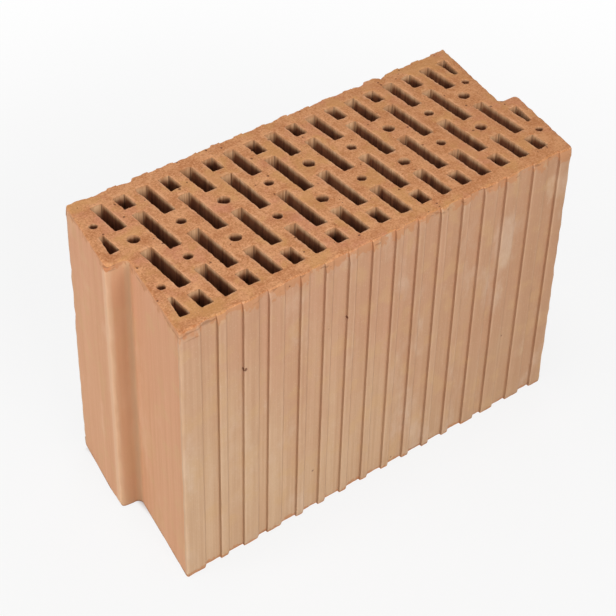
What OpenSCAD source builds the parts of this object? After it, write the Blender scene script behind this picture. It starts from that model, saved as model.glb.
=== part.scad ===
// Vertically perforated clay wall block with interlocking saw-tooth ends, fired as one piece.
// X runs along the wall, Y from the front face to the rear face, Z up the cells.
// The origin is the middle of the lower bed face.

/* [Block] */
// Length of each long face
face_length = 380; // [300:1:460]
// Thickness through the wall, over the ribs of both faces
block_width = 175; // [165:1:240]
// Height between the two ground bed faces
block_height = 249; // [100:1:300]

/* [Toothed ends] */
// How far the two long faces are offset along the wall, which is the depth of each tooth
tooth_depth = 17.5; // [12:0.5:22]
// Distance of each tooth's square step from the middle of the wall
step_offset = 4.5; // [1:0.5:8]
// How much deeper the valley is than the tooth, so that the next block's nose stays clear of it
valley_relief = 1; // [0:0.25:2]
// Rounding of the nose at the outer edge of the step
nose_radius = 4; // [2:0.5:6]
// Rounding of the valley at the foot of the step
valley_radius = 4; // [2:0.5:5]
// Rounding of the four upright corners
corner_radius = 1.5; // [0.5:0.25:4]

/* [Plaster grooves] */
// Depth of the grooves between the ribs
groove_depth = 2.8; // [1:0.1:4]
// Number of evenly spaced grooves on each side of a face's middle one
side_grooves = 4; // [2:1:4]
// Width of a groove at the face
groove_width = 16; // [12:0.5:18]
// Width of the narrow groove between each pair of wide ribs
narrow_groove_width = 10; // [6:0.5:12]
// Width of a rib in the evenly spaced middle run
rib_width = 6.4; // [4:0.2:8]
// Width of the wide ribs
wide_rib_width = 13; // [9:0.5:15]
// Width of the sloping side of a groove
groove_slope = 3; // [1:0.5:5]
// Shift of the front grooves towards the left end
front_groove_shift = 1; // [0:0.5:5]
// Shift of the rear grooves towards the right end
rear_groove_shift = 4; // [0:0.5:5]
// Width of the last groove beside the front face's right corner
corner_groove_width = 14; // [8:0.5:16]
// Clay between the last groove and the front face's right corner
corner_rib_width = 12.5; // [8:0.5:18]

/* [Cells] */
// Clay between a long face and the nearest cells
face_shell = 15.3; // [12:0.1:20]
// Width of the rectangular cells
cell_width = 10.5; // [8:0.25:12]
// Least thickness of the webs between the columns of cells
least_web = 9.5; // [7:0.25:12]
// Rounding of the cell corners
cell_radius = 1; // [0.5:0.1:3]
// Length of the short cell in a column with a large round cell
short_cell = 18; // [12:0.5:22]
// Length of the short cell in a column with a small round cell
shorter_cell = 16.5; // [12:0.5:22]
// Length of the long cells
long_cell = 51; // [40:0.5:60]
// Clay between a short and a long cell
cross_web = 9; // [6:0.5:14]
// Diameter of the large round cells
large_round = 10; // [7:0.25:12]
// Diameter of the small round cells
small_round = 8; // [5:0.25:10]
// Clay on each side of a round cell along its column
round_wall = 10.5; // [7:0.5:14]

/* [End cells] */
// Distance of the end cells' straight side from the set-back corner
end_inset = 2.5; // [1:0.25:5]
// Width of the narrow end of the tapered end cells
narrow_end = 4; // [3:0.25:6]
// Length of the tapered end cells
end_cell = 22.5; // [16:0.5:26]
// Clay between a tooth's nose and its tapered cell
nose_shell = 11.5; // [9:0.5:18]
// Diameter of the round end cells
end_round = 6.5; // [4:0.25:8]
// Distance of a round end cell's centre from the narrow end of the tapered cell
end_round_step = 13.2; // [9:0.2:16]

/* [Hidden] */

arc_steps = 8;
round_steps = 48;
overrun = 1;
narrow_radius_share = 0.4;

half_width = block_width / 2;
nose_x = (face_length + tooth_depth) / 2;
valley_x = (face_length - tooth_depth) / 2;
rear_flank_slope = tooth_depth / (half_width - step_offset);
front_flank_slope = (tooth_depth + valley_relief) / (half_width + step_offset);

// Middle run of grooves, then the outer ones on each side of it, measured from the middle of a face
groove_pitch = groove_width + rib_width;
run_end = side_grooves * groove_pitch + groove_width / 2;
narrow_groove_place = run_end + wide_rib_width + narrow_groove_width / 2;
outer_groove_place = narrow_groove_place + narrow_groove_width / 2 + wide_rib_width + groove_width / 2;
last_groove_place = outer_groove_place + groove_pitch;

// Columns of cells, evenly spread between the end cells
front_row = face_shell - half_width;
end_line = valley_x - end_inset;
column_count = floor((2 * end_line - least_web) / (cell_width + least_web));
column_pitch = (2 * end_line + cell_width) / (column_count + 1);

function unit(direction) = direction / norm(direction);

function turned(arm, angle) = [
    arm.x * cos(angle) - arm.y * sin(angle),
    arm.x * sin(angle) + arm.y * cos(angle)
];

// Arc that rounds one corner of an outline
function corner_arc(before, corner, after, radius) =
    let (
        back = unit(before - corner),
        ahead = unit(after - corner),
        half_angle = acos(back * ahead) / 2,
        centre = corner + unit(back + ahead) * radius / sin(half_angle),
        arm = corner + back * radius / tan(half_angle) - centre,
        sweep = sign(cross(ahead, back)) * (180 - 2 * half_angle)
    )
    [for (step = [0:arc_steps]) centre + turned(arm, sweep * step / arc_steps)];

// Outline with each corner rounded, from points and a radius for each
function rounded(points, radii) = [
    for (i = [0:len(points) - 1])
        each corner_arc(
            points[(i + len(points) - 1) % len(points)],
            points[i],
            points[(i + 1) % len(points)],
            radii[i]
        )
];

// Left end from the rear corner to the front one, and the same turned half round for the right end
module block_outline() {
    left_end = [
        [-valley_x, half_width],
        [-nose_x, step_offset],
        [-valley_x + valley_relief, step_offset],
        [-nose_x, -half_width]
    ];
    left_radii = [corner_radius, nose_radius, valley_radius, corner_radius];
    polygon(rounded(concat(left_end, -left_end), concat(left_radii, left_radii)));
}

// One groove, with a sloping left side and a square right side
module groove(place, width) {
    translate([place - width / 2, 0])
        polygon([
            [0, -overrun],
            [width, -overrun],
            [width, groove_depth],
            [groove_slope, groove_depth],
            [0, 0]
        ]);
}

// Grooves of one face, from its middle, with the last one on the right left out
module shared_grooves() {
    for (i = [-side_grooves:side_grooves])
        groove(i * groove_pitch, groove_width);
    for (side = [-1, 1]) {
        groove(side * narrow_groove_place, narrow_groove_width);
        groove(side * outer_groove_place, groove_width);
    }
    groove(-last_groove_place, groove_width);
}

module front_grooves() {
    translate([-tooth_depth / 2 - front_groove_shift, -half_width])
        shared_grooves();
    translate([valley_x - corner_rib_width, -half_width])
        groove(-corner_groove_width / 2, corner_groove_width);
}

module rear_grooves() {
    rotate(180)
        translate([-tooth_depth / 2 - rear_groove_shift, -half_width]) {
            shared_grooves();
            groove(last_groove_place, groove_width);
        }
}

// Rectangular cell with rounded corners, from its front end
module cell(length) {
    inner_width = cell_width - 2 * cell_radius;
    inner_length = length - 2 * cell_radius;
    translate([-inner_width / 2, 0])
        square([inner_width, length]);
    translate([-cell_width / 2, cell_radius])
        square([cell_width, inner_length]);
    for (side = [-1, 1], place = [cell_radius, length - cell_radius])
        translate([side * inner_width / 2, place])
            circle(cell_radius, $fn = round_steps);
}

// Short cell, long cell, round cell and a last cell that fills the rest of the column
module cell_column(short_length, round_diameter) {
    long_place = front_row + short_length + cross_web;
    round_place = long_place + long_cell + round_wall + round_diameter / 2;
    last_place = round_place + round_diameter / 2 + round_wall;
    translate([0, front_row])
        cell(short_length);
    translate([0, long_place])
        cell(long_cell);
    translate([0, round_place])
        circle(d = round_diameter, $fn = round_steps);
    translate([0, last_place])
        cell(-front_row - last_place);
}

// Every second column runs the other way, and large and small round cells change in pairs
module cell_field() {
    for (i = [0:column_count - 1])
        translate([(i - (column_count - 1) / 2) * column_pitch, 0])
            mirror([0, i % 2])
                if (i % 4 == 0 || i % 4 == 3)
                    cell_column(short_cell, large_round);
                else
                    cell_column(shorter_cell, small_round);
}

// Tapered cell whose outer side follows a flank of the end, and the round cell beyond it
module end_pair(place, flank_slope) {
    wide_end = narrow_end + end_cell * flank_slope;
    radius = min(cell_radius, narrow_end * narrow_radius_share);
    translate([-end_line, place]) {
        polygon(rounded(
            [[0, 0], [0, end_cell], [-narrow_end, end_cell], [-wide_end, 0]],
            [radius, radius, radius, radius]
        ));
        translate([0, end_cell + end_round_step])
            circle(d = end_round, $fn = round_steps);
    }
}

module end_cells() {
    end_pair(front_row, front_flank_slope);
    end_pair(step_offset + nose_shell, rear_flank_slope);
}

module clay_block() {
    color("peru")
        linear_extrude(block_height)
            difference() {
                block_outline();
                front_grooves();
                rear_grooves();
                cell_field();
                end_cells();
                rotate(180)
                    end_cells();
            }
}

clay_block();
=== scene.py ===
"""Looks of a fired clay wall block: worn edges, ground beds, extruded skin and dragged cell walls."""

import math

import bpy
import numpy as np
from mathutils import Matrix, Vector, noise
from mathutils.geometry import delaunay_2d_cdt
from mathutils.kdtree import KDTree


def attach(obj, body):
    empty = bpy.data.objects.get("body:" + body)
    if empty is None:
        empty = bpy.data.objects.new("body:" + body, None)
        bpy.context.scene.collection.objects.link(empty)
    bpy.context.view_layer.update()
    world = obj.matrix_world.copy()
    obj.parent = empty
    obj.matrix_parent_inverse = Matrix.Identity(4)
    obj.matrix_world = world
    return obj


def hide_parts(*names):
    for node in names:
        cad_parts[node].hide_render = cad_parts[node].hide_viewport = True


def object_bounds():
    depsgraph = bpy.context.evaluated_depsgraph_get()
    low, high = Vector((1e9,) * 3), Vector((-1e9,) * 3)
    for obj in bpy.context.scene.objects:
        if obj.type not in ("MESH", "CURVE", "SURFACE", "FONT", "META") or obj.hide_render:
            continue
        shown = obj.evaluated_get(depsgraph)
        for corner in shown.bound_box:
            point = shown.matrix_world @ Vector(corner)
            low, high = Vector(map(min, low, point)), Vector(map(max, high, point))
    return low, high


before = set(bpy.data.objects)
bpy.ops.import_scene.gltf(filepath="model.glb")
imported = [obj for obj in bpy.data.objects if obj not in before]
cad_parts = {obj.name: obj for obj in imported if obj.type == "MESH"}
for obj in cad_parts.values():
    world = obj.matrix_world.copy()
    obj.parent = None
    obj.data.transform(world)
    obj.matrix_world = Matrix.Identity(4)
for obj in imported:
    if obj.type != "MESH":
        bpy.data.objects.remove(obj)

CAD_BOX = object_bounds()
MM = 0.001
TOP = CAD_BOX[1].z

# How finely the clay is divided along its edges, over the beds and up the walls
WELD = 0.001 * MM
LEAST_STEP = 0.4 * MM
OUTLINE_STEP = 2.2 * MM
CELL_STEP = 1.45 * MM
BED_STEP = 2.6 * MM
SKIN_ROW = 7.5 * MM
LAST_ROW = 0.9
CELL_ROWS = (12.0 * MM, 120.0 * MM, 238.0 * MM)

# How the points of a bed are scattered, as shares of their step
SPOT_JITTER = 0.25
SPOT_CLEARANCE = 0.6
SEED = 7

# Turn at which a corner is cut, the most of a side that a cut takes, and the turn shaded sharp
SHARP_TURN = math.radians(40)
CUT_SHARE = 0.4
SHARP_SHADE = math.radians(38)

# Rounding of the upright edges: on the ribs' outer edges and in the grooves' inner corners
ARRIS_ROUND = 0.5 * MM
ROOT_ROUND = 0.4 * MM

# Wear of the upright edges and of the block's own corners
ARRIS_WEAR = 0.45 * MM
CORNER_WEAR = 0.8 * MM

# Reach over which a wall's turn is measured, for each use of it
DRAG_REACH = 1.0 * MM
RUB_REACH = 2.5 * MM
CORNER_SHADE_REACH = 1.0 * MM
STEEP_REACH = 0.4 * MM
CORNER_REACH = 8.0 * MM
OUTER_REACH = 9.0 * MM
CELL_REACH = 2.5 * MM

# How far a wall has turned towards an axis to count as a groove's steep side, or as square on
STEEP = 0.85
SQUARE_ON = 0.96

# Wear along the edges of the bed faces: rounding, ragged depth, height of the wear to its depth,
# and size of a notch
OUTER_EDGE = (0.45 * MM, 1.3 * MM, 1.5, 4.5 * MM)
CELL_EDGE = (0.22 * MM, 1.4 * MM, 1.0, 3.0 * MM)

# Share of that wear along the lower edges, and how pale the rims are rubbed, partly as a painted
# highlight
LOWER_SHARE = 0.3
OUTER_RIM = 0.0
CELL_RIM = 0.6

# Rings of a worn edge from the bed into the wall: shares of the wear back and down,
# and of the rib break back and down
OUTER_RINGS = (
    (1.0, 0.0, 1.0, 0.0),
    (0.36, 0.28, 0.88, 0.12),
    (0.06, 0.8, 0.4, 0.5),
    (0.0, 1.0, 0.0, 1.0),
)
CELL_RINGS = (
    (1.0, 0.0, 0.0, 0.0),
    (0.36, 0.28, 0.0, 0.0),
    (0.0, 1.0, 0.0, 0.0),
)

# How ragged the wear is: its mean, the shares of fine and coarse notches, and its limits
WEAR_MEAN = 0.3
WEAR_FINE = 0.9
WEAR_COARSE = 0.7
WEAR_RANGE = (0, 1.6)

# How much the ribs' break, the height over which they fade in, the chips and the corners vary
BREAK_MEAN = 0.8
BREAK_VARY = 0.9
BREAK_RANGE = (0.2, 1.25)
FADE_VARY = 0.6
CHIP_MEAN = 0.8
CHIP_VARY = 0.4
ARRIS_MEAN = 0.5
CORNER_GAIN = 2.5
CORNER_START = 1.4
CORNER_MEAN = 0.2
CORNER_VARY = 1.4

# Size of the waves of each kind of unevenness, and a shift that keeps the kinds apart
WEAR_WAVES = (13 * MM, SEED + 5)
BREAK_WAVES = (21 * MM, SEED + 9)
FADE_WAVES = (17 * MM, SEED + 13)
WALL_WAVES = (55 * MM, 3)
DRAG_WAVES = ((3 * MM, 3 * MM, 160 * MM), 11)
ARRIS_WAVES = ((6 * MM, 6 * MM, 14 * MM), 15)
CORNER_WAVES = ((9 * MM, 9 * MM, 12 * MM), 31)
BED_WAVES = (9 * MM, 21)
SHIFT_WAY = (1.0, 0.37, 1.7)

# Ribbed faces, whose ribs are broken back at the bed edges and fade in over a short height
RIB_FACE = CAD_BOX[1].y
GROOVE_DEPTH = 2.8 * MM
GROOVE_FLOOR = RIB_FACE - GROOVE_DEPTH
RIB_BREAK = 2.2 * MM
RIB_BREAK_SHARE = 0.9
RIB_FADE = 6.0 * MM

# Wear at which fresh clay shows all over a chip
CHIP_DEPTH = 3.0 * MM

# Larger chips along the upper and lower edges: place in plan, width and depth
CHIPS = (
    ((-197.5, 7.0), 6.5, 6.2),
    ((-128.0, 87.5), 6.0, 3.0),
    ((103.0, 87.5), 5.0, 2.6),
    ((125.5, 87.5), 6.0, 3.0),
    ((-95.0, 87.5), 6.0, 1.4),
    ((46.0, 87.5), 6.0, 1.6),
    ((138.0, 87.5), 9.0, 1.2),
    ((188.0, 33.5), 8.0, 0.7),
    ((183.5, 12.0), 9.0, 0.6),
    ((-190.0, -87.5), 12.0, 1.6),
    ((-150.0, -87.5), 5.0, 1.4),
    ((-60.0, -87.5), 7.0, 1.6),
    ((24.0, -87.5), 6.0, 1.6),
    ((92.0, -87.5), 8.0, 1.6),
    ((150.0, -87.5), 6.0, 1.4),
)
LOWER_CHIPS = (
    ((-198.0, 9.5), 20.0, 2.8),
)

# Single pits in the front face: place along the face and up it, and radius
PITS = (
    ((-142.2, 187.0), 2.0),
    ((-65.0, 186.0), 1.1),
    ((-46.6, 187.5), 1.4),
    ((-13.5, 32.0), 1.1),
)

# Depth over which the cells' walls fade into painted shade: share of the open length,
# breadth of a wide opening and least share for a narrow one, and limits
DAYLIGHT_SHARE = 0.55
DAYLIGHT_BREADTH = 20.0 * MM
DAYLIGHT_NARROW = 0.5
DAYLIGHT_RANGE = (2.5 * MM, 15.0 * MM)

# The step of a toothed end: where it and its outer part start along the wall, and its place
# through the wall at the right end
STEP_START = (176.0 * MM, 180.0 * MM)
STEP_MIDDLE = (181.0 * MM, 187.0 * MM)
STEP_FACE = -4.5 * MM

# Height of the waves and drag lines of the walls, and of the waves of the bed faces
SKIN_RELIEF = (0.22 * MM, 0.10 * MM)
CELL_RELIEF = (0.22 * MM, 0.14 * MM)
BED_WAVE = 0.14 * MM

# Depth from a long face at which the finish of the end starts
END_EDGE = 4.0 * MM


def area(loop):
    """Signed area inside a loop of points."""
    ahead = np.roll(loop, -1, axis=0)
    return 0.5 * float(np.sum(loop[:, 0] * ahead[:, 1] - ahead[:, 0] * loop[:, 1]))


def bed_loops(block):
    """Edges of the upper bed face as loops with the clay on their left, the outline first."""
    mesh = block.data
    mesh.calc_loop_triangles()
    places = np.array([v.co for v in mesh.vertices])
    number = {}
    keys = np.round(places / WELD).astype(int)
    welded = [number.setdefault(tuple(key), len(number)) for key in keys]
    plan = np.zeros((len(number), 2))
    plan[welded] = places[:, :2]
    on_top = places[:, 2] > TOP - WELD
    edges = {}
    for triangle in mesh.loop_triangles:
        corners = tuple(triangle.vertices)
        if not all(on_top[v] for v in corners):
            continue
        a, b, c = (welded[v] for v in corners)
        if area(plan[[a, b, c]]) < 0:
            b, c = c, b
        for edge in ((a, b), (b, c), (c, a)):
            if edges.pop(edge[::-1], None) is None:
                edges[edge] = True
    following = dict(list(edges))
    loops = []
    while following:
        start = next(iter(following))
        loop = [start]
        at = following.pop(start)
        while at != start:
            loop.append(at)
            at = following.pop(at)
        loops.append(plan[loop])
    return sorted(loops, key=lambda loop: -abs(area(loop)))


def thinned(loop):
    """A loop without the points that lie very close to the one before."""
    kept = [loop[0]]
    for point in loop[1:]:
        if np.linalg.norm(point - kept[-1]) > LEAST_STEP:
            kept.append(point)
    return np.array(kept)


def softened(loop, step):
    """A loop with its sharp corners cut to short curves and its long stretches divided."""
    loop = thinned(loop)
    points = []
    for before, corner, after in zip(np.roll(loop, 1, axis=0), loop, np.roll(loop, -1, axis=0)):
        back, ahead = before - corner, after - corner
        back_length, ahead_length = np.linalg.norm(back), np.linalg.norm(ahead)
        turn = math.pi - math.acos(np.clip(back @ ahead / (back_length * ahead_length), -1, 1))
        if turn < SHARP_TURN:
            points.append(corner)
            continue
        outer = back[0] * ahead[1] - back[1] * ahead[0] < 0
        rounding = ARRIS_ROUND if outer else ROOT_ROUND
        cut = min(rounding, CUT_SHARE * back_length, CUT_SHARE * ahead_length)
        first = corner + back / back_length * cut
        last = corner + ahead / ahead_length * cut
        for share in (0, 1 / 3, 2 / 3, 1):
            rest = 1 - share
            points.append(rest ** 2 * first + 2 * share * rest * corner + share ** 2 * last)
    divided = []
    for here, there in zip(points, points[1:] + points[:1]):
        parts = max(1, math.ceil(np.linalg.norm(there - here) / step))
        divided += [here + (there - here) * k / parts for k in range(parts)]
    return np.array(divided)


def chord(loop, start, end):
    """Unit directions along a loop between two shifts, in metres, from each of its points."""
    closed = np.vstack((loop, loop[:1]))
    run = np.concatenate(([0], np.cumsum(np.linalg.norm(np.diff(closed, axis=0), axis=1))))
    first, last = ((run[:-1] + shift) % run[-1] for shift in (start, end))
    steps = [np.interp(last, run, highlight) - np.interp(first, run, highlight) for highlight in closed.T]
    along = np.column_stack(steps)
    return along / np.linalg.norm(along, axis=1)[:, None]


def air_side(loop, reach):
    """Unit directions out of the clay at each point of a loop, square to the chord there."""
    along = chord(loop, -reach, reach)
    return np.column_stack((along[:, 1], -along[:, 0]))


def turning(loop, reach):
    """How sharply a loop turns: -1 in an inner corner, 0 on a flat wall, 1 on an outer edge."""
    come, leave = chord(loop, -reach, 0), chord(loop, 0, reach)
    return come[:, 0] * leave[:, 1] - come[:, 1] * leave[:, 0]


def roughness_at(places, size, shift):
    """Smooth noise from -1 to 1 at each place, with waves of about the given size."""
    sizes = np.broadcast_to(np.asarray(size, float), 3)
    offset = Vector([way * shift for way in SHIFT_WAY])
    return np.array([noise.noise(Vector(place / sizes) + offset) for place in places])


def on_face(loop):
    """Which points of a loop lie on the ribs and grooves of the two long faces."""
    return np.abs(loop[:, 1]) > GROOVE_FLOOR - WELD


def edge_wear(loop, height, rounding, ragged, notch):
    """How far a bed edge is worn back at each point of a loop, and a rib broken back there."""
    face = on_face(loop)
    edge = loop.copy()
    edge[face, 1] = np.sign(loop[face, 1]) * RIB_FACE
    places = np.column_stack((edge, np.full(len(loop), height)))
    fine = roughness_at(places, notch, SEED)
    coarse = roughness_at(places, *WEAR_WAVES)
    share = np.clip(WEAR_MEAN + WEAR_FINE * fine + WEAR_COARSE * coarse, *WEAR_RANGE)
    worn = rounding + ragged * share
    uneven = BREAK_MEAN + BREAK_VARY * roughness_at(places, *BREAK_WAVES)
    limit = RIB_BREAK * np.clip(uneven, *BREAK_RANGE)
    depth = RIB_FACE - np.abs(loop[:, 1])
    broken = np.where(face, RIB_BREAK_SHARE * np.clip(limit - depth, 0, None), 0)
    chips = CHIPS
    if height < TOP:
        worn, broken = LOWER_SHARE * worn, LOWER_SHARE * broken
        chips = LOWER_CHIPS
    for place, width, deep in chips:
        away = np.linalg.norm(edge - np.array(place) * MM, axis=1) / (width * MM)
        worn += deep * MM * np.clip(1 - away, 0, 1) * (CHIP_MEAN + CHIP_VARY * fine)
    return worn, broken


class ClayMesh:
    """Points, faces and finishes of the block while it is built."""

    def __init__(self):
        self.points = []
        self.faces = []
        self.finishes = []
        self.rub_light_and_shade = []
        self.daylight = []
        self.chipped = []

    def ring(self, plan, heights, rub_light_and_shade=0.0, daylight=0.0, chipped=0.0):
        first = len(self.points)
        heights = np.broadcast_to(heights, len(plan))
        self.points += [(x, y, z) for (x, y), z in zip(plan, heights)]
        self.rub_light_and_shade += list(np.broadcast_to(rub_light_and_shade, len(plan)))
        self.daylight += list(np.broadcast_to(daylight, len(plan)))
        self.chipped += list(np.broadcast_to(chipped, len(plan)))
        return list(range(first, len(self.points)))

    def band(self, upper, lower, finish):
        for k in range(len(upper)):
            after = (k + 1) % len(upper)
            self.faces.append((upper[k], lower[k], lower[after], upper[after]))
            self.finishes.append(finish[k])


def worn_rings(clay, loop, out, height, inward, rub_light_and_shade, daylight, steps, edge):
    """Rings that turn a worn edge from the bed face into the wall, from the bed to the wall."""
    rim, rounding, ragged, drop, notch = edge
    worn, broken = edge_wear(loop, height, rounding, ragged, notch)
    places = np.column_stack((loop[:, 0], np.zeros(len(loop)), np.full(len(loop), height)))
    uneven = 1 + FADE_VARY * roughness_at(places, *FADE_WAVES)
    fade = np.where(on_face(loop), RIB_FADE * uneven, 0)
    rings = []
    for wear_back, wear_down, break_back, break_down in steps:
        back = wear_back * worn + break_back * broken
        down = wear_down * drop * worn + break_down * fade
        plan = loop - out * back[:, None]
        chipped = np.clip(worn / CHIP_DEPTH, 0, 1) * (wear_back > 0)
        kept = np.where(rub_light_and_shade > 0, rub_light_and_shade * (1 - chipped), rub_light_and_shade)
        marks = kept + rim * wear_back
        rings.append(clay.ring(plan, height + inward * down, marks, daylight, chipped))
    return rings


def wall_relief(loop, height, wave, drag):
    """A loop moved in and out by the waves and drag lines of extruded clay."""
    places = np.column_stack((loop, np.full(len(loop), height)))
    waves = wave * roughness_at(places, *WALL_WAVES)
    lines = drag * roughness_at(places, *DRAG_WAVES)
    edge = np.clip(turning(loop, DRAG_REACH), 0, 1)
    worn = ARRIS_WEAR * edge * (ARRIS_MEAN + roughness_at(places, *ARRIS_WAVES))
    corner = np.clip(CORNER_GAIN * turning(loop, CORNER_REACH) - CORNER_START, 0, 1)
    uneven = CORNER_MEAN + CORNER_VARY * roughness_at(places, *CORNER_WAVES)
    worn += CORNER_WEAR * corner * np.clip(uneven, 0, 1)
    return loop + air_side(loop, DRAG_REACH) * (waves + lines - worn)[:, None]


def rub_light_and_shade_at(loop):
    """How much each point is rubbed pale, partly a painted highlight, above 0 on outer edges, or
    given painted shade, below 0 in corners and on the grooves' steep walls.
    """
    rub_light_and_shade = np.maximum(turning(loop, RUB_REACH), 0) + np.minimum(turning(loop, CORNER_SHADE_REACH), 0)
    # The grooves' steep walls get full painted shade
    in_groove = on_face(loop) & (np.abs(air_side(loop, OUTER_REACH)[:, 1]) > STEEP)
    steep = np.abs(air_side(loop, STEEP_REACH)[:, 0]) > STEEP
    return np.where(in_groove & steep, -1.0, rub_light_and_shade)


def daylight_at(loop):
    """How deep a cell wall fades into painted shade, further where the cell is long before it."""
    facing = np.abs(air_side(loop, CELL_REACH))
    spread = np.ptp(loop, axis=0)
    ahead = facing @ spread
    across = facing @ spread[::-1]
    breadth = np.sqrt(np.clip(across / DAYLIGHT_BREADTH, DAYLIGHT_NARROW, 1))
    return np.clip(DAYLIGHT_SHARE * ahead * breadth, *DAYLIGHT_RANGE)


def wall(clay, loop, out, rows, steps, edge, relief, finish):
    """One upright wall from the upper bed face to the lower one. Returns its two bed rings."""
    rub_light_and_shade, daylight = rub_light_and_shade_at(loop), daylight_at(loop)
    rings = worn_rings(clay, loop, out, TOP, -1, rub_light_and_shade, daylight, steps, edge)
    for height in sorted(rows, reverse=True):
        rings.append(clay.ring(wall_relief(loop, height, *relief), height, rub_light_and_shade, daylight))
    rings += worn_rings(clay, loop, out, 0.0, 1, rub_light_and_shade, daylight, steps, edge)[::-1]
    ground = (0, len(rings) - 2)
    for k, (first, second) in enumerate(zip(rings, rings[1:])):
        clay.band(first, second, ["bed"] * len(loop) if k in ground else finish)
    return rings[0], rings[-1]


def inside_clay(points, loops):
    """Which points lie within the outline and outside every cell."""
    starts = np.concatenate(loops)
    ends = np.concatenate([np.roll(loop, -1, axis=0) for loop in loops])
    rise = ends[:, 1] - starts[:, 1]
    lean = (ends[:, 0] - starts[:, 0]) / np.where(rise == 0, 1, rise)
    hits = np.zeros(len(points), int)
    for k, (x, y) in enumerate(points):
        crossed = (starts[:, 1] > y) != (ends[:, 1] > y)
        meets = starts[crossed, 0] + lean[crossed] * (y - starts[crossed, 1])
        hits[k] = np.count_nonzero(x < meets)
    return hits % 2 == 1


def bed_face(clay, rings, height, upward):
    """A bed face between the worn rings of the outline and the cells, with low waves."""
    loops = [np.array([clay.points[v][:2] for v in ring]) for ring in rings]
    rim = np.concatenate(loops)
    ids = [v for ring in rings for v in ring]
    near = KDTree(len(rim))
    for k, (x, y) in enumerate(rim):
        near.insert((x, y, 0), k)
    near.balance()
    random = np.random.default_rng(SEED)
    low, high = loops[0].min(0), loops[0].max(0)
    grid = np.mgrid[low[0]:high[0]:BED_STEP, low[1]:high[1]:BED_STEP * math.sqrt(3) / 2]
    grid[0] += (np.arange(grid.shape[2]) % 2) * BED_STEP / 2
    jitter = random.uniform(-SPOT_JITTER, SPOT_JITTER, (grid[0].size, 2))
    spots = grid.reshape(2, -1).T + jitter * BED_STEP
    spots = spots[[near.find((x, y, 0))[2] > SPOT_CLEARANCE * BED_STEP for x, y in spots]]
    spots = spots[inside_clay(spots, loops)]
    edges, start = [], 0
    for loop in loops:
        edges += [(start + k, start + (k + 1) % len(loop)) for k in range(len(loop))]
        start += len(loop)
    flat = [Vector(p) for p in np.concatenate((rim, spots))]
    places, _, triangles, sources, _, _ = delaunay_2d_cdt(flat, edges, [], 0, WELD)
    centres = np.array([sum((places[v] for v in t), Vector((0, 0))) / 3 for t in triangles])
    kept = [t for t, keep in zip(triangles, inside_clay(centres, loops)) if keep]
    raised = np.column_stack((spots, np.full(len(spots), height)))
    waves = BED_WAVE * roughness_at(raised, *BED_WAVES)
    spot_ids = clay.ring(spots, height + np.minimum(waves, 0) * upward)
    lookup = ids + spot_ids
    for triangle in kept:
        corners = [lookup[sources[v][0]] for v in triangle]
        clay.faces.append(tuple(corners if upward > 0 else corners[::-1]))
        clay.finishes.append("bed")


def skin_finish(loop):
    """The finish of each stretch of the outline: a ribbed face or a smoother toothed end."""
    middle = (loop + np.roll(loop, -1, axis=0)) / 2
    face = np.abs(middle[:, 1]) > RIB_FACE - END_EDGE
    return ["skin" if ribbed else "end" for ribbed in face]


def build_block(loops):
    """The whole block as one closed mesh."""
    clay = ClayMesh()
    rows = np.arange(SKIN_ROW, TOP - LAST_ROW * SKIN_ROW, SKIN_ROW)
    outline = softened(loops[0], OUTLINE_STEP)
    out = air_side(outline, OUTER_REACH)
    square = on_face(outline) & (np.abs(out[:, 1]) > SQUARE_ON)
    out[square] = np.column_stack((np.zeros(square.sum()), np.sign(outline[square, 1])))
    edge = (OUTER_RIM, *OUTER_EDGE)
    rings = [wall(clay, outline, out, rows, OUTER_RINGS, edge, SKIN_RELIEF, skin_finish(outline))]
    for loop in loops[1:]:
        cell = softened(loop, CELL_STEP)
        out = air_side(cell, CELL_REACH)
        edge = (CELL_RIM, *CELL_EDGE)
        finish = ["cell"] * len(cell)
        rings.append(wall(clay, cell, out, CELL_ROWS, CELL_RINGS, edge, CELL_RELIEF, finish))
    bed_face(clay, [upper for upper, _ in rings], TOP, 1)
    bed_face(clay, [lower for _, lower in rings], 0.0, -1)
    return clay


# Fineness of the shading's noise, in waves a metre
GRAIN_CLOUDS = 60.0
WIDE_LINES = 150.0
NARROW_LINES = 560.0
PORE_EDGE = 1100.0
PIT_EDGE = 900.0
KILN_PATCHES = 16.0
KILN_HAZE = 30.0
KILN_OCHRE = 46.0
COARSE_FLAKES = 110.0
FINE_FLAKES = 420.0
RUB_PATCHES = 90.0
NICK_SHADE_PATCHES = 130.0

# Stretch of that noise along the wall, through it and up it
ALL_WAYS = (1, 1, 1)
UPRIGHT = (1, 1, 0.02)
PATCH_STRETCH = (1, 1, 0.7)
HAZE_STRETCH = (1, 1, 0.5)
FLAKE_STRETCH = (1, 1, 0.6)
RUB_STRETCH = (1, 1, 0.25)
NICK_SHADE_STRETCH = (0.55, 0.55, 1.9)

# Where each mask starts and where it is full
TONE_RANGE = (0.36, 0.64)
SPECK_RANGE = (0.42, 0.12)
LIGHT_SPECKS = (0.6, 0.85)
DARK_SPECKS = (0.75, 0.95)
LINE_RANGE = (0.34, 0.66)
PORE_RANGE = (0.0, 0.04)
PIT_RANGE = (1.15, 0.8)
WARM_RANGE = (0.28, 0.58)
HAZE_RANGE = (0.52, 0.74)
OCHRE_RANGE = (0.5, 0.66)
DEEP_RANGE = (0.0, 0.3)
FLAKE_RANGE = (0.48, 0.88)
FLAKE_EDGE = (-1.2 * MM, 1.2 * MM)
RUB_RANGE = (0.1, 0.8)
PATCH_RANGE = (0.3, 0.65)
CORNER_SHADE_RANGE = (-0.4, -1.0)
BROKEN_RANGE = (0.4, 0.8)
CHIP_RANGE = (0.6, 1.0)
NICK_SHADE_RANGE = (0.56, 0.63)
NICK_SHADE_HEIGHT = (6 * MM, 3 * MM)
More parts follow.
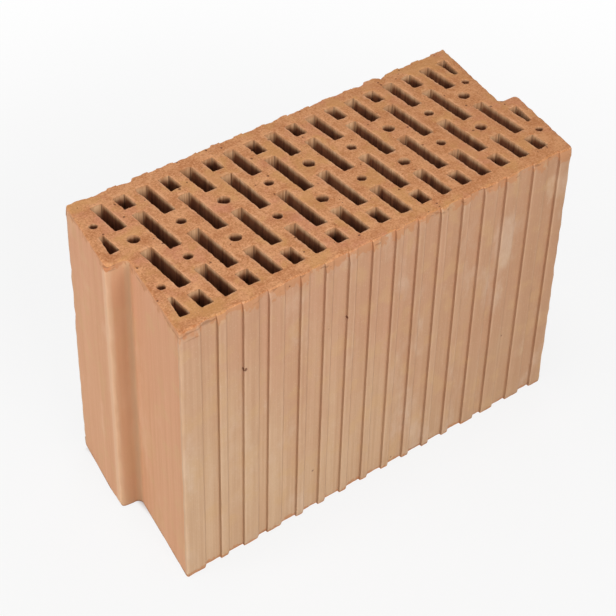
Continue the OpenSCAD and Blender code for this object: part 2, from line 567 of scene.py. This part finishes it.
FOOT_SHADE_HEIGHT = (1.8 * MM, 0.5 * MM)

# How far a pit's edge wanders, and how much sooner the wear of the lower edge ends
PIT_RAGGED = 2 * MM
LOWER_EDGE = 2.5
NOISE_MIDDLE = 0.5

# Kiln colours change up the block and along it
KILN_RISE = 1.6
KILN_RUN = 0.5

# Share of each noise where two are added
CLOUD_SHARE = 0.4
FINE_SHARE = 0.6
LINE_SHARE = 0.5
PATCH_SHARE = 0.5
HAZE_SHARE = 0.2
FLAKE_SHARE = 0.35

# Bands beside the face of the step, through the wall: start and full for each side of a band
STEP_BAND = ((-2.5 * MM, -0.5 * MM), (6 * MM, 3 * MM))
NOSE_START = (-3 * MM, -1 * MM)
# Band of the painted highlight beside the nose
NOSE_HIGHLIGHT_BAND = ((-10 * MM, -7.5 * MM), (-1.5 * MM, -3.5 * MM))


class Nodes:
    """Short hand for adding and joining the nodes of one tree."""

    def __init__(self, tree):
        self.tree = tree

    def add(self, kind, inputs=None, **settings):
        node = self.tree.nodes.new("ShaderNode" + kind)
        for name, value in settings.items():
            setattr(node, name, value)
        for name, value in (inputs or {}).items():
            if isinstance(value, bpy.types.NodeSocket):
                self.tree.links.new(value, node.inputs[name])
            else:
                node.inputs[name].default_value = value
        return node

    def math(self, operation, first, second=0.0, third=0.0):
        return self.add("Math", {0: first, 1: second, 2: third}, operation=operation).outputs[0]

    def place(self, scale):
        """Places on the block in metres, stretched by a scale along each axis."""
        spot = self.add("TexCoord").outputs["Object"]
        return self.add("Mapping", {"Vector": spot, "Scale": scale}).outputs["Vector"]

    def cloud(self, scale, detail=3.0, stretch=ALL_WAYS, roughness=0.55):
        inputs = {
            "Vector": self.place(stretch),
            "Scale": scale,
            "Detail": detail,
            "Roughness": roughness,
        }
        return self.add("TexNoise", inputs).outputs["Fac"]

    def range(self, value, low, high, to_low=0.0, to_high=1.0):
        inputs = {
            "Value": value,
            "From Min": low,
            "From Max": high,
            "To Min": to_low,
            "To Max": to_high,
        }
        return self.add("MapRange", inputs, interpolation_type="SMOOTHSTEP").outputs["Result"]

    def blend(self, factor, first, second):
        node = self.add("Mix", data_type="RGBA", clamp_factor=True)
        sockets = (node.inputs[0], node.inputs[6], node.inputs[7])
        for socket, value in zip(sockets, (factor, first, second)):
            if isinstance(value, bpy.types.NodeSocket):
                self.tree.links.new(value, socket)
            else:
                socket.default_value = value
        return node.outputs[2]


def group(name, inputs, outputs, fill):
    """A shader node group whose outputs are what fill returns for its inputs."""
    tree = bpy.data.node_groups.new(name, "ShaderNodeTree")
    for socket, value in inputs.items():
        entry = tree.interface.new_socket(socket, in_out="INPUT", socket_type="NodeSocketFloat")
        entry.default_value = value
    for socket in outputs:
        tree.interface.new_socket(socket, in_out="OUTPUT", socket_type="NodeSocketFloat")
    nodes = Nodes(tree)
    given = tree.nodes.new("NodeGroupInput").outputs
    result = tree.nodes.new("NodeGroupOutput").inputs
    for socket, value in fill(nodes, given).items():
        tree.links.new(value, result[socket])
    return tree


def grain(nodes, given):
    """Sandy clay: fine specks, larger clouds of tone and a rough height."""
    fine = nodes.cloud(given["Fineness"], 4.0, roughness=0.65)
    clouds = nodes.cloud(GRAIN_CLOUDS, 4.0)
    sand = nodes.add("TexVoronoi", {"Vector": nodes.place(ALL_WAYS), "Scale": given["Fineness"]})
    speck = nodes.range(sand.outputs["Distance"], *SPECK_RANGE)
    chance = nodes.add("SeparateColor", {"Color": sand.outputs["Color"]}).outputs
    specks = nodes.math("MULTIPLY", fine, FINE_SHARE)
    tone = nodes.math("MULTIPLY_ADD", clouds, CLOUD_SHARE, specks)
    return {
        "Tone": nodes.range(tone, *TONE_RANGE),
        "Light Specks": nodes.math("MULTIPLY", speck, nodes.range(chance[0], *LIGHT_SPECKS)),
        "Dark Specks": nodes.math("MULTIPLY", speck, nodes.range(chance[1], *DARK_SPECKS)),
        "Height": fine,
    }


def drag(nodes, given):
    """Lines dragged up the clay by the die."""
    wide = nodes.cloud(WIDE_LINES, 2.0, UPRIGHT)
    narrow = nodes.cloud(NARROW_LINES, 3.0, UPRIGHT)
    broad = nodes.math("MULTIPLY", wide, LINE_SHARE)
    lines = nodes.math("MULTIPLY_ADD", narrow, LINE_SHARE, broad)
    return {"Lines": nodes.range(lines, *LINE_RANGE), "Height": lines}


def pores(nodes, given):
    """Scattered pits, of which only a share of the places is taken."""
    cells = nodes.add("TexVoronoi", {"Vector": nodes.place(ALL_WAYS), "Scale": given["Spacing"]})
    chance = nodes.add("SeparateColor", {"Color": cells.outputs["Color"]}).outputs[1]
    taken = nodes.math("SUBTRACT", chance, nodes.math("SUBTRACT", 1.0, given["Share"]))
    radius = nodes.math("MULTIPLY", nodes.range(taken, 0.0, given["Share"]), given["Size"])
    uneven = nodes.math("SUBTRACT", nodes.cloud(PORE_EDGE, 2.0), NOISE_MIDDLE)
    ragged = nodes.math("MULTIPLY", uneven, given["Size"])
    edge = nodes.math("ADD", cells.outputs["Distance"], ragged)
    return {"Mask": nodes.range(nodes.math("SUBTRACT", radius, edge), *PORE_RANGE)}


def face_pits(nodes, given):
    """The single pits in the front face."""
    uneven = nodes.math("SUBTRACT", nodes.cloud(PIT_EDGE, 2.0), NOISE_MIDDLE)
    ragged = nodes.math("MULTIPLY", uneven, PIT_RAGGED)
    mask = 0.0
    for (along, up), radius in PITS:
        centre = (along * MM, -(RIB_FACE + GROOVE_FLOOR) / 2, up * MM)
        gap = nodes.add("VectorMath", {0: nodes.place(ALL_WAYS), 1: centre}, operation="DISTANCE")
        edge = nodes.math("ADD", gap.outputs["Value"], ragged)
        pit = nodes.range(edge, *(share * radius * MM for share in PIT_RANGE))
        mask = nodes.math("MAXIMUM", pit, mask)
    return {"Mask": mask}


def bloom(nodes, given):
    """Broad patches of kiln colour, warmer towards the upper bed, a pale haze, ochre spots and a tone
    that darkens towards the right end.
    """
    spot = nodes.add("SeparateXYZ", {"Vector": nodes.place(ALL_WAYS)}).outputs
    run = nodes.math("MULTIPLY", spot["X"], KILN_RUN)
    slope = nodes.math("MULTIPLY_ADD", spot["Z"], KILN_RISE, run)
    mottle = nodes.cloud(KILN_PATCHES, 4.0, PATCH_STRETCH)
    patches = nodes.math("MULTIPLY_ADD", mottle, PATCH_SHARE, slope)
    haze = nodes.cloud(KILN_HAZE, 5.0, HAZE_STRETCH, roughness=0.6)
    ochre = nodes.cloud(KILN_OCHRE, 3.0, roughness=0.5)
    deep = nodes.math("MULTIPLY_ADD", haze, HAZE_SHARE, spot["X"])
    return {
        "Warm": nodes.range(patches, *WARM_RANGE),
        "Haze": nodes.range(haze, *HAZE_RANGE),
        "Ochre": nodes.range(ochre, *OCHRE_RANGE),
        "Deep": nodes.range(deep, *DEEP_RANGE),
    }


def wear_light_and_shade(nodes, given):
    """Where the skin is broken off and chipped, rubbed pale on outer edges partly as a painted
    highlight, and given painted shade in corners, under nicks and along the foot.
    """
    height = nodes.add("SeparateXYZ", {"Vector": nodes.place(ALL_WAYS)}).outputs["Z"]
    above = nodes.math("MULTIPLY", height, LOWER_EDGE)
    edge = nodes.math("MINIMUM", above, nodes.math("SUBTRACT", TOP, height))
    coarse = nodes.cloud(COARSE_FLAKES, 2.0, FLAKE_STRETCH)
    broken = nodes.math("MULTIPLY_ADD", nodes.cloud(FINE_FLAKES, 2.0), FLAKE_SHARE, coarse)
    reach = nodes.math("MULTIPLY", nodes.range(broken, *FLAKE_RANGE), given["Reach"])
    flaked = nodes.range(nodes.math("SUBTRACT", reach, edge), *FLAKE_EDGE)
    chipped = nodes.add("Attribute", attribute_name="chipped").outputs["Fac"]
    turn = nodes.add("Attribute", attribute_name="rub_light_and_shade").outputs["Fac"]
    patchy = nodes.range(nodes.cloud(RUB_PATCHES, 3.0, RUB_STRETCH), *PATCH_RANGE)
    # Painted shade under small chipped ledges below the bed edges
    nick_shade = nodes.range(nodes.cloud(NICK_SHADE_PATCHES, 2.0, NICK_SHADE_STRETCH), *NICK_SHADE_RANGE)
    return {
        "Broken": nodes.math("MAXIMUM", flaked, nodes.range(chipped, *BROKEN_RANGE)),
        "Chip": nodes.range(chipped, *CHIP_RANGE),
        # Outer edges and cell rims rubbed pale, partly a painted highlight
        "Pale And Highlight": nodes.math("MULTIPLY", nodes.range(turn, *RUB_RANGE), patchy),
        # Painted shade in inner corners and on the grooves' steep walls
        "Corner Shade": nodes.range(turn, *CORNER_SHADE_RANGE),
        "Nick Shade": nodes.math("MULTIPLY", nick_shade, nodes.range(edge, *NICK_SHADE_HEIGHT)),
        # Painted contact shade, darker towards the foot
        "Foot Shade": nodes.range(height, *FOOT_SHADE_HEIGHT),
    }


def beside_step(nodes, behind, start, full):
    """A mask that comes in between two distances through the wall from the face of the step."""
    return nodes.range(behind, STEP_FACE + start, STEP_FACE + full)


def step_light_and_shade(nodes, given):
    """Painted light on the inner half of each toothed end's step, painted shade on its nose, and a
    pale line beside the nose painted as a highlight.
    """
    spot = nodes.add("SeparateXYZ", {"Vector": nodes.place(ALL_WAYS)}).outputs
    behind = nodes.math("MULTIPLY", spot["Y"], nodes.math("SIGN", spot["X"]))
    along = nodes.math("ABSOLUTE", spot["X"])
    at_end = nodes.range(along, *STEP_START)
    outer = nodes.range(along, *STEP_MIDDLE)
    inner = nodes.math("SUBTRACT", at_end, outer)
    before, after = (beside_step(nodes, behind, *side) for side in STEP_BAND)
    nose = beside_step(nodes, behind, *NOSE_START)
    highlight, highlight_end = (beside_step(nodes, behind, *side) for side in NOSE_HIGHLIGHT_BAND)
    # Painted light on the step's inner half, painted shade on the nose, and a painted highlight
    # beside it
    return {
        "Step Light": nodes.math("MULTIPLY", inner, nodes.math("MULTIPLY", before, after)),
        "Nose Shade": nodes.math("MULTIPLY", outer, nodes.math("MULTIPLY", nose, after)),
        "Line": nodes.math("MULTIPLY", at_end, nodes.math("MULTIPLY", highlight, highlight_end)),
    }


GRAIN_MASKS = ("Tone", "Light Specks", "Dark Specks", "Height")
WEAR_LIGHT_AND_SHADE_MASKS = ("Broken", "Chip", "Pale And Highlight", "Corner Shade", "Nick Shade", "Foot Shade")
GRAIN = group("clay grain", {"Fineness": 800.0}, GRAIN_MASKS, grain)
DRAG = group("die drag", {}, ("Lines", "Height"), drag)
PORES = group("clay pores", {"Spacing": 160.0, "Share": 0.3, "Size": 0.3}, ("Mask",), pores)
FACE_PITS = group("face pits", {}, ("Mask",), face_pits)
BLOOM = group("kiln bloom", {}, ("Warm", "Haze", "Ochre", "Deep"), bloom)
STEP_LIGHT_AND_SHADE = group("step light and shade", {}, ("Step Light", "Nose Shade", "Line"), step_light_and_shade)
WEAR_LIGHT_AND_SHADE = group("edge wear, painted highlight and shade", {"Reach": 6 * MM}, WEAR_LIGHT_AND_SHADE_MASKS, wear_light_and_shade)


def shade(name):
    """A new material with its node helper and its own shader."""
    material = bpy.data.materials.new(name)
    material.use_nodes = True
    nodes = Nodes(material.node_tree)
    return material, nodes, material.node_tree.nodes["Principled BSDF"]


def use(nodes, tree, **inputs):
    node = nodes.add("Group", node_tree=tree)
    for name, value in inputs.items():
        node.inputs[name].default_value = value
    return node.outputs


def bump(nodes, shader, height, strength, distance):
    inputs = {"Height": height, "Strength": strength, "Distance": distance}
    nodes.tree.links.new(nodes.add("Bump", inputs).outputs["Normal"], shader.inputs["Normal"])


def colour(red, green, blue):
    """A colour as seen on a screen, from 0 to 255, as Blender's own linear colour."""
    parts = [value / 255 for value in (red, green, blue)]
    linear = [p / 12.92 if p <= 0.04045 else ((p + 0.055) / 1.055) ** 2.4 for p in parts]
    return (*linear, 1.0)


def layered(nodes, base, *coats):
    """A colour with coats over it, each a mask, how strongly it covers and its colour."""
    for mask, cover, tint in coats:
        base = nodes.blend(nodes.math("MULTIPLY", mask, cover), base, tint)
    return base


# Colours of broken clay, of painted shade in pits, of pale rubs and painted highlights, of the
# painted light and shade of the step and nose, and of painted shade in corners, under nicks and along
# the foot
BROKEN_CLAY = colour(192, 134, 92)
CHIP_CLAY = colour(190, 120, 76)
# Painted shade in pits and pores
PIT_SHADE = colour(104, 58, 36)
# Pale rubs on edges, partly a painted highlight
PALE_HIGHLIGHT = colour(226, 190, 156)
OCHRE_SKIN = colour(204, 164, 118)
# Painted light that lifts the shaded inner half of each step
STEP_LIGHT = colour(226, 183, 143)
# Painted shade on the nose and the step's outer half
NOSE_SHADE = colour(197, 158, 124)
# Painted shade, in corners, under nicks and along the foot
PAINTED_SHADE = colour(140, 96, 66)

# Colours of the ground bed faces
GROUND_DARK = colour(184, 118, 74)
GROUND_LIGHT = colour(224, 163, 116)
GROUND_ROSE = colour(210, 138, 110)
GROUND_OCHRE = colour(206, 152, 94)
GROUND_DEEP = colour(180, 120, 72)
# Pale rims, partly a painted highlight
GROUND_PALE_HIGHLIGHT = colour(236, 186, 146)
LIGHT_SAND = colour(232, 178, 136)
DARK_SAND = colour(146, 84, 52)

# Colours of the skin on the ribbed faces and on the ends: cool, warm, streaks and pale haze
FACE_SKIN = (
    colour(207, 172, 138),
    colour(199, 152, 121),
    colour(182, 138, 104),
    colour(216, 190, 166),
)
END_SKIN = (
    colour(211, 159, 122),
    colour(210, 154, 119),
    colour(196, 143, 106),
    colour(220, 177, 144),
)

# Colours of the cell walls near the bed faces and of their painted shade deeper in, each between two
# drag lines
RIM_DARK = colour(176, 128, 90)
RIM_LIGHT = colour(222, 180, 138)
SHADED_CORE_DARK = colour(100, 57, 38)
SHADED_CORE_LIGHT = colour(148, 93, 62)
# Painted shade in the cells' inner corners
CELL_CORNER_SHADE = colour(70, 42, 28)

# How far the broken skin reaches from the bed edges on each finish
FACE_BREAK = 11 * MM
END_BREAK = 8 * MM
CELL_BREAK = 2.5 * MM

# Depth in a cell at which the painted shade of its walls starts
DAYLIGHT_START = 0.3 * MM

# Roughness between the low and the high spots of each finish, and its shine
SAND_SPOTS = (0.2, 0.8)
LINE_SPOTS = (0.3, 0.7)
BED_ROUGHNESS = (0.98, 0.86)
SKIN_ROUGHNESS = (0.7, 0.86)
CELL_ROUGHNESS = (0.8, 0.95)
BED_SHINE = 0.2
SKIN_SHINE = 0.3
CELL_SHINE = 0.2

# Share of the sand and of the broken skin in the fine relief
BED_SAND = 0.7
SKIN_SAND = 0.3
SKIN_BROKEN = 0.15


def bed_material():
    """Ground clay of the bed faces: orange, sandy and open-pored, with painted shade in the pores and
    pale rims partly painted as highlights.
    """
    material, nodes, shader = shade("ground_clay")
    sand = use(nodes, GRAIN, Fineness=620.0)
    pits = use(nodes, PORES, Spacing=230.0, Share=0.16, Size=0.26)
    kiln = use(nodes, BLOOM)
    worn = use(nodes, WEAR_LIGHT_AND_SHADE)
    base = nodes.blend(sand["Tone"], GROUND_DARK, GROUND_LIGHT)
    base = layered(
        nodes,
        base,
        (kiln["Haze"], 0.6, GROUND_ROSE),
        (kiln["Ochre"], 0.55, GROUND_OCHRE),
        (kiln["Deep"], 0.3, GROUND_DEEP),
        # Pale rims: rubbed clay, partly a painted highlight
        (worn["Pale And Highlight"], 0.6, GROUND_PALE_HIGHLIGHT),
        (sand["Light Specks"], 0.45, LIGHT_SAND),
        (sand["Dark Specks"], 0.5, DARK_SAND),
        # Painted shade in the pores
        (pits["Mask"], 0.8, PIT_SHADE),
    )
    nodes.tree.links.new(base, shader.inputs["Base Color"])
    roughness = nodes.range(sand["Height"], *SAND_SPOTS, *BED_ROUGHNESS)
    nodes.tree.links.new(roughness, shader.inputs["Roughness"])
    shader.inputs["Specular IOR Level"].default_value = BED_SHINE
    height = nodes.math("MULTIPLY", sand["Height"], BED_SAND)
    height = nodes.math("SUBTRACT", height, pits["Mask"])
    bump(nodes, shader, height, strength=0.8, distance=0.8 * MM)
    return material


def skin_material(name, reach, cool, warm, streak, pale):
    """Fired skin of the outer faces: paler, with drag lines, kiln colours, a pale haze, and painted
    light and shade on edges, corners, pits, nicks, the foot and the step.
    """
    material, nodes, shader = shade(name)
    sand = use(nodes, GRAIN, Fineness=600.0)
    lines = use(nodes, DRAG)
    pores = use(nodes, PORES, Spacing=36.0, Share=0.12, Size=0.06)
    pits = nodes.math("MAXIMUM", pores["Mask"], use(nodes, FACE_PITS)["Mask"])
    kiln = use(nodes, BLOOM)
    worn = use(nodes, WEAR_LIGHT_AND_SHADE, Reach=reach)
    step = use(nodes, STEP_LIGHT_AND_SHADE)
    base = nodes.blend(kiln["Warm"], cool, warm)
    base = layered(
        nodes,
        base,
        (kiln["Deep"], 0.55, streak),
        (lines["Lines"], 0.45, streak),
        (kiln["Ochre"], 0.35, OCHRE_SKIN),
        (kiln["Haze"], 0.5, pale),
        (sand["Tone"], 0.14, streak),
        (sand["Light Specks"], 0.25, pale),
        # Painted light on the step's inner half, against its shade
        (step["Step Light"], 0.9, STEP_LIGHT),
        # Painted shade on the nose and the step's outer half
        (step["Nose Shade"], 0.5, NOSE_SHADE),
        # Pale line beside the nose: a painted highlight
        (step["Line"], 0.45, PALE_HIGHLIGHT),
        # Pale outer edges: rubbed clay, partly a painted highlight
        (worn["Pale And Highlight"], 0.3, PALE_HIGHLIGHT),
        # Painted shade in corners and on the grooves' steep walls
        (worn["Corner Shade"], 0.3, PAINTED_SHADE),
        (worn["Broken"], 0.75, BROKEN_CLAY),
        (worn["Chip"], 0.7, CHIP_CLAY),
        # Painted shade under small chipped ledges
        (worn["Nick Shade"], 0.6, PAINTED_SHADE),
        # Painted contact shade along the foot
        (worn["Foot Shade"], 0.55, PAINTED_SHADE),
        # Painted shade in pits and pores
        (pits, 0.9, PIT_SHADE),
    )
    nodes.tree.links.new(base, shader.inputs["Base Color"])
    roughness = nodes.range(lines["Height"], *LINE_SPOTS, *SKIN_ROUGHNESS)
    nodes.tree.links.new(roughness, shader.inputs["Roughness"])
    shader.inputs["Specular IOR Level"].default_value = SKIN_SHINE
    relief = nodes.math("MULTIPLY_ADD", sand["Height"], SKIN_SAND, lines["Height"])
    cuts = nodes.math("MULTIPLY_ADD", worn["Broken"], SKIN_BROKEN, pits)
    bump(nodes, shader, nodes.math("SUBTRACT", relief, cuts), strength=0.6, distance=0.5 * MM)
    return material


def cell_material():
    """Inner walls of the cells: brown, with drag lines, darkened by painted shade away from the bed
    faces and in the corners.
    """
    material, nodes, shader = shade("cell_clay")
    lines = use(nodes, DRAG)
    worn = use(nodes, WEAR_LIGHT_AND_SHADE, Reach=CELL_BREAK)
    height = nodes.add("SeparateXYZ", {"Vector": nodes.place(ALL_WAYS)}).outputs["Z"]
    inside = nodes.math("MINIMUM", height, nodes.math("SUBTRACT", TOP, height))
    rim = nodes.blend(lines["Lines"], RIM_DARK, RIM_LIGHT)
    shaded_core = nodes.blend(lines["Lines"], SHADED_CORE_DARK, SHADED_CORE_LIGHT)
    daylight = nodes.add("Attribute", attribute_name="daylight").outputs["Fac"]
    # Painted shade: the walls darken with depth down the cell
    base = nodes.blend(nodes.range(inside, DAYLIGHT_START, daylight), rim, shaded_core)
    base = layered(
        nodes,
        base,
        # Painted shade in the cells' inner corners
        (worn["Corner Shade"], 0.7, CELL_CORNER_SHADE),
        (worn["Broken"], 0.6, BROKEN_CLAY),
    )
    nodes.tree.links.new(base, shader.inputs["Base Color"])
    roughness = nodes.range(lines["Height"], *LINE_SPOTS, *CELL_ROUGHNESS)
    nodes.tree.links.new(roughness, shader.inputs["Roughness"])
    shader.inputs["Specular IOR Level"].default_value = CELL_SHINE
    bump(nodes, shader, lines["Height"], strength=0.8, distance=0.8 * MM)
    return material


def finishes():
    """The finish of each kind of face, in the order of the block's material slots."""
    return {
        "bed": bed_material(),
        "skin": skin_material("fired_skin", FACE_BREAK, *FACE_SKIN),
        "end": skin_material("end_skin", END_BREAK, *END_SKIN),
        "cell": cell_material(),
    }


def make_block():
    """The detailed block, standing for the plain one."""
    clay = build_block(bed_loops(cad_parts["clay_block"]))
    mesh = bpy.data.meshes.new("worn_clay_block")
    mesh.from_pydata(clay.points, [], clay.faces)
    materials = finishes()
    for material in materials.values():
        mesh.materials.append(material)
    order = list(materials)
    mesh.polygons.foreach_set("material_index", [order.index(finish) for finish in clay.finishes])
    mesh.polygons.foreach_set("use_smooth", [True] * len(mesh.polygons))
    mesh.set_sharp_from_angle(angle=SHARP_SHADE)
    for name in ("rub_light_and_shade", "daylight", "chipped"):
        mesh.attributes.new(name, "FLOAT", "POINT").data.foreach_set("value", getattr(clay, name))
    mesh.update()
    block = bpy.data.objects.new("worn_clay_block", mesh)
    bpy.context.scene.collection.objects.link(block)
    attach(block, "root")
    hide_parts("clay_block")


# The photograph's view
CAMERA_PLACE = Vector((-0.6898, -0.8248, 1.0091))
CAMERA_TURN = math.radians(-39.33)
CAMERA_RISE = math.radians(39.73)
CAMERA_ROLL = math.radians(1.62)
CAMERA_LENS = 99.44


def direction(turn, rise):
    """Unit direction at a side and height angle, with 0 at the front."""
    flat = math.cos(rise)
    return Vector((math.sin(turn) * flat, -math.cos(turn) * flat, math.sin(rise)))


def aim(place, turn, rise, roll):
    """A camera's matrix from its place, the side it looks from, its height angle and its roll."""
    back = direction(turn, rise)
    side = Vector((0, 0, 1)).cross(back).normalized()
    up = back.cross(side)
    rolled_side = math.cos(roll) * side + math.sin(roll) * up
    rolled_up = math.cos(roll) * up - math.sin(roll) * side
    turned = Matrix((rolled_side, rolled_up, back)).transposed()
    return Matrix.Translation(place) @ turned.to_4x4()


def make_camera():
    data = bpy.data.cameras.new("camera")
    data.lens = CAMERA_LENS
    camera = bpy.data.objects.new("camera", data)
    camera.matrix_world = aim(CAMERA_PLACE, CAMERA_TURN, CAMERA_RISE, CAMERA_ROLL)
    bpy.context.scene.collection.objects.link(camera)
    bpy.context.scene.camera = camera


# Soft square lamps: side and height angle in degrees, with 0 at the front, then size and power
LAMP_DISTANCE = 2.2
LAMPS = {
    "left_lamp": (-107, 9, 0.7, 21.5),
    "front_lamp": (-12, 22, 0.8, 28.8),
    "top_lamp": (-80, 83, 0.7, 18.7),
    "rear_lamp": (135, 12, 0.9, 12),
}


def make_lamp(name, side, rise, size, power):
    """A lamp that faces the middle of the block."""
    data = bpy.data.lights.new(name, "AREA")
    data.size = size
    data.energy = power
    lamp = bpy.data.objects.new(name, data)
    out = direction(math.radians(side), math.radians(rise))
    lamp.location = Vector((0, 0, TOP / 2)) + LAMP_DISTANCE * out
    lamp.rotation_euler = out.to_track_quat("Z", "Y").to_euler()
    bpy.context.scene.collection.objects.link(lamp)


# The floor's half width and its own grey
FLOOR_REACH = 6.0
FLOOR_GREY = (0.6, 0.6, 0.6, 1.0)
FLOOR_ROUGHNESS = 0.9

# How white the floor is shown near the block and away from it, and the distances of the two
FLOOR_WHITE = (0.85, 1.0)
SHADOW_REACH = (0.3, 0.9)

# Shares of the block's half size between which the whitening starts, so that none is under it
UNDER_EDGE = (0.9, 0.94)

# The even light of the room, and the background's colour
AMBIENT = 0.2
WHITE = (1, 1, 1, 1)


def seen_share(nodes):
    """1 where the camera, a reflection or glass sees a surface, 0 where light bounces off it."""
    path = nodes.add("LightPath").outputs
    seen = nodes.math("MAXIMUM", path["Is Camera Ray"], path["Is Glossy Ray"])
    return nodes.math("MAXIMUM", seen, path["Is Transmission Ray"])


def make_floor():
    mesh = bpy.data.meshes.new("floor")
    r = FLOOR_REACH
    mesh.from_pydata([(-r, -r, 0), (r, -r, 0), (r, r, 0), (-r, r, 0)], [], [(0, 1, 2, 3)])
    floor = bpy.data.objects.new("floor", mesh)
    bpy.context.scene.collection.objects.link(floor)
    material, nodes, shader = shade("pale_floor")
    shader.inputs["Base Color"].default_value = FLOOR_GREY
    shader.inputs["Roughness"].default_value = FLOOR_ROUGHNESS
    white = nodes.add("Emission", {"Color": WHITE, "Strength": 1.0}).outputs[0]
    place = nodes.place(ALL_WAYS)
    away = nodes.add("VectorMath", {0: place}, operation="LENGTH").outputs["Value"]
    spot = nodes.add("SeparateXYZ", {"Vector": place}).outputs
    beside = nodes.math("DIVIDE", nodes.math("ABSOLUTE", spot["X"]), CAD_BOX[1].x)
    before = nodes.math("DIVIDE", nodes.math("ABSOLUTE", spot["Y"]), CAD_BOX[1].y)
    outside = nodes.range(nodes.math("MAXIMUM", beside, before), *UNDER_EDGE)
    bright = nodes.range(away, *SHADOW_REACH, *FLOOR_WHITE)
    whiteness = nodes.math("MULTIPLY", bright, outside)
    share = nodes.math("MULTIPLY", seen_share(nodes), whiteness)
    mixed = nodes.add("MixShader", {0: share, 1: shader.outputs[0], 2: white}).outputs[0]
    output = material.node_tree.nodes["Material Output"]
    material.node_tree.links.new(mixed, output.inputs["Surface"])
    mesh.materials.append(material)


def make_world():
    world = bpy.data.worlds.new("studio")
    world.use_nodes = True
    bpy.context.scene.world = world
    nodes = Nodes(world.node_tree)
    background = world.node_tree.nodes["Background"]
    background.inputs["Color"].default_value = WHITE
    strength = nodes.range(seen_share(nodes), 0.0, 1.0, AMBIENT, 1.0)
    world.node_tree.links.new(strength, background.inputs["Strength"])


make_camera()
make_block()
make_floor()
make_world()
for lamp, settings in LAMPS.items():
    make_lamp(lamp, *settings)
bpy.context.scene.view_settings.view_transform = "Standard"
